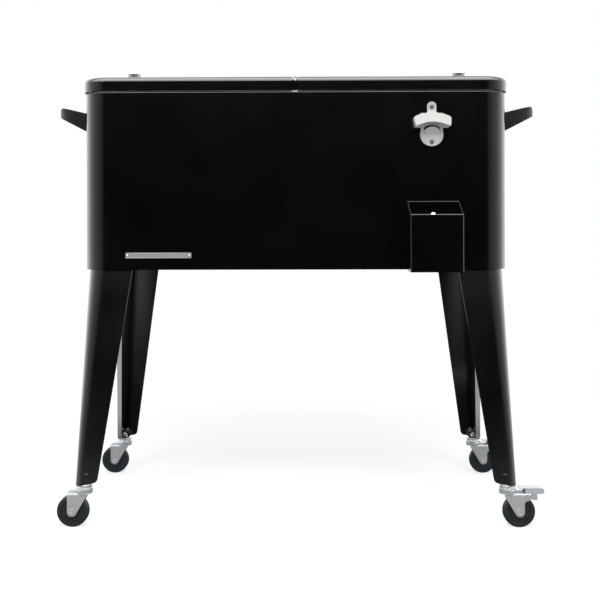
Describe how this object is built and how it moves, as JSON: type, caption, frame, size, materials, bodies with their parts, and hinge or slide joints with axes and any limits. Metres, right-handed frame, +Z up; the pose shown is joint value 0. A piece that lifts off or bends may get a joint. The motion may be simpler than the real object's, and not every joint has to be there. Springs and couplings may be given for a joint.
{
  "type": "rolling patio cooler",
  "caption": "Insulated steel patio cooler on splayed legs with swivel casters, two centre-hinged lids, side handles, bottle opener, cap catcher and drain.",
  "frame": {"origin": "on the floor, midway between the two handles' ends and midway between the foremost and rearmost point", "axes": "+X to the right seen from the front, +Y to the back, +Z up; the front with opener and cap catcher faces -Y"},
  "size_m": [0.998, 0.4493, 0.904],
  "materials": {
    "body_paint": "gloss black powder coat on sheet steel",
    "leg_paint": "gloss black powder coat on sheet steel",
    "handle_coat": "gloss black coating on a cast handle",
    "liner": "smooth pale moulded plastic",
    "foam": "rigid closed-cell foam",
    "chrome": "bright chrome plating",
    "zinc": "zinc-plated pressed steel",
    "wheel_rubber": "dark rubber, satin",
    "seal": "soft dark seal",
    "nylon": "black nylon"
  },
  "bodies": {
    "cabinet": {"outer_shell": "body_paint", "inner_liner": "liner", "foam_insulation": "foam", "bottom_panel": "body_paint", "center_bar": "body_paint", "hinge_pin": "zinc", "leg_front_left": "leg_paint", "leg_front_right": "leg_paint", "leg_rear_left": "leg_paint", "leg_rear_right": "leg_paint", "foot_plates": "leg_paint", "foot_bolts": "zinc", "leg_bolts": "zinc", "handle_left": "handle_coat", "handle_right": "handle_coat", "handle_screws": "chrome", "bottle_opener": "chrome", "opener_screws": "chrome", "cap_catcher": "body_paint", "catcher_screws": "chrome", "drain_spout": "nylon", "drain_nut": "nylon", "stem_front_left": "zinc", "stem_front_right": "zinc", "stem_rear_left": "zinc", "stem_rear_right": "zinc", "swivel_balls": "zinc"},
    "drain_cap": {"drain_cap": "nylon"},
    "lid_left": {"lid_left_shell": "body_paint", "lid_left_panel": "liner", "lid_left_seal": "seal", "lid_left_hinge": "body_paint", "lid_left_knob": "chrome", "lid_left_knob_screw": "zinc"},
    "lid_right": {"lid_right_shell": "body_paint", "lid_right_panel": "liner", "lid_right_seal": "seal", "lid_right_hinge": "body_paint", "lid_right_knob": "chrome", "lid_right_knob_screw": "zinc"},
    "fork_front_left": {"fork_front_left": "zinc", "axle_front_left": "zinc", "bush_front_left": "zinc"},
    "wheel_front_left": {"wheel_front_left": "wheel_rubber"},
    "fork_front_right": {"fork_front_right": "zinc", "axle_front_right": "zinc", "bush_front_right": "zinc", "brake_pin_front": "zinc"},
    "wheel_front_right": {"wheel_front_right": "wheel_rubber"},
    "fork_rear_left": {"fork_rear_left": "zinc", "axle_rear_left": "zinc", "bush_rear_left": "zinc"},
    "wheel_rear_left": {"wheel_rear_left": "wheel_rubber"},
    "fork_rear_right": {"fork_rear_right": "zinc", "axle_rear_right": "zinc", "bush_rear_right": "zinc", "brake_pin_rear": "zinc"},
    "wheel_rear_right": {"wheel_rear_right": "wheel_rubber"},
    "brake_lever_front": {"brake_lever_front": "zinc"},
    "brake_lever_rear": {"brake_lever_rear": "zinc"}
  },
  "joints": [
    {"name": "lid_left_hinge", "type": "hinge", "parent": "cabinet", "child": "lid_left", "pos_m": [0, 0.0102, 0.871], "axis": [0, 1, 0], "range_deg": [0, 80]},
    {"name": "lid_right_hinge", "type": "hinge", "parent": "cabinet", "child": "lid_right", "pos_m": [0, 0.0102, 0.871], "axis": [0, -1, 0], "range_deg": [0, 80]},
    {"name": "drain_cap_turn", "type": "hinge", "parent": "cabinet", "child": "drain_cap", "pos_m": [-0.25, 0.0602, 0.4925], "axis": [0, 0, 1], "range_deg": [0, 540]},
    {"name": "swivel_front_left", "type": "hinge", "parent": "cabinet", "child": "fork_front_left", "pos_m": [-0.4083, -0.1881, 0.068], "axis": [0, 0, 1], "continuous": true},
    {"name": "wheel_spin_front_left", "type": "hinge", "parent": "fork_front_left", "child": "wheel_front_left", "pos_m": [-0.4293, -0.1881, 0.0305], "axis": [0, 1, 0], "continuous": true},
    {"name": "swivel_front_right", "type": "hinge", "parent": "cabinet", "child": "fork_front_right", "pos_m": [0.4083, -0.1881, 0.068], "axis": [0, 0, 1], "continuous": true},
    {"name": "wheel_spin_front_right", "type": "hinge", "parent": "fork_front_right", "child": "wheel_front_right", "pos_m": [0.4293, -0.1881, 0.0305], "axis": [0, 1, 0], "continuous": true},
    {"name": "swivel_rear_left", "type": "hinge", "parent": "cabinet", "child": "fork_rear_left", "pos_m": [-0.4083, 0.2085, 0.068], "axis": [0, 0, 1], "continuous": true},
    {"name": "wheel_spin_rear_left", "type": "hinge", "parent": "fork_rear_left", "child": "wheel_rear_left", "pos_m": [-0.4293, 0.2085, 0.0305], "axis": [0, 1, 0], "continuous": true},
    {"name": "swivel_rear_right", "type": "hinge", "parent": "cabinet", "child": "fork_rear_right", "pos_m": [0.4083, 0.2085, 0.068], "axis": [0, 0, 1], "continuous": true},
    {"name": "wheel_spin_rear_right", "type": "hinge", "parent": "fork_rear_right", "child": "wheel_rear_right", "pos_m": [0.4293, 0.2085, 0.0305], "axis": [0, 1, 0], "continuous": true},
    {"name": "brake_front", "type": "hinge", "parent": "fork_front_right", "child": "brake_lever_front", "pos_m": [0.4443, -0.1881, 0.062], "axis": [0, 1, 0], "range_deg": [0, 10]},
    {"name": "brake_rear", "type": "hinge", "parent": "fork_rear_right", "child": "brake_lever_rear", "pos_m": [0.4443, 0.2085, 0.062], "axis": [0, 1, 0], "range_deg": [0, 10]}
  ]
}
